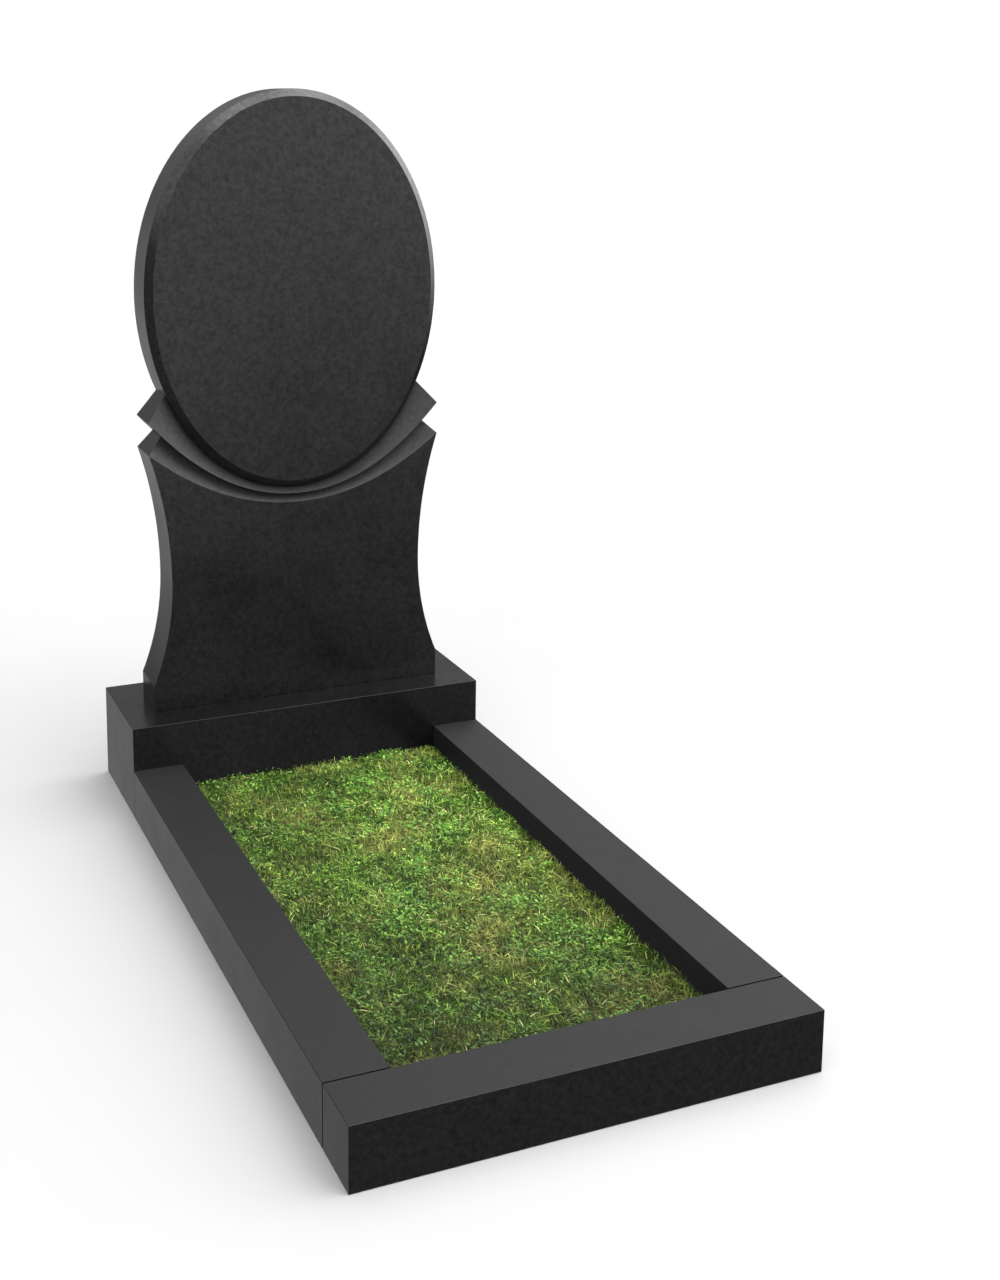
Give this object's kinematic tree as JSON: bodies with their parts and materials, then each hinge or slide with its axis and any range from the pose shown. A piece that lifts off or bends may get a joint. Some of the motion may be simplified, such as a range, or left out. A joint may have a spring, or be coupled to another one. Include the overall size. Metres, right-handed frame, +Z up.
{
  "type": "grave monument",
  "caption": "Polished black granite grave monument: an oval stele carved over a crescent and a waisted body, on a plinth, with a low kerb round a plot of short turf.",
  "frame": {"origin": "centre of the footprint, on the ground", "axes": "+X across the grave (right as one faces the carved side), -Y the front and the foot of the plot, +Y the back, +Z up"},
  "size_m": [0.6, 1.17, 1.1523],
  "materials": {
    "granite": "polished",
    "turf": "matte"
  },
  "bodies": {
    "root": {"stele": "granite", "plinth": "granite", "kerb_left": "granite", "kerb_right": "granite", "kerb_front": "granite", "turf_bed": "turf"}
  },
  "joints": []
}
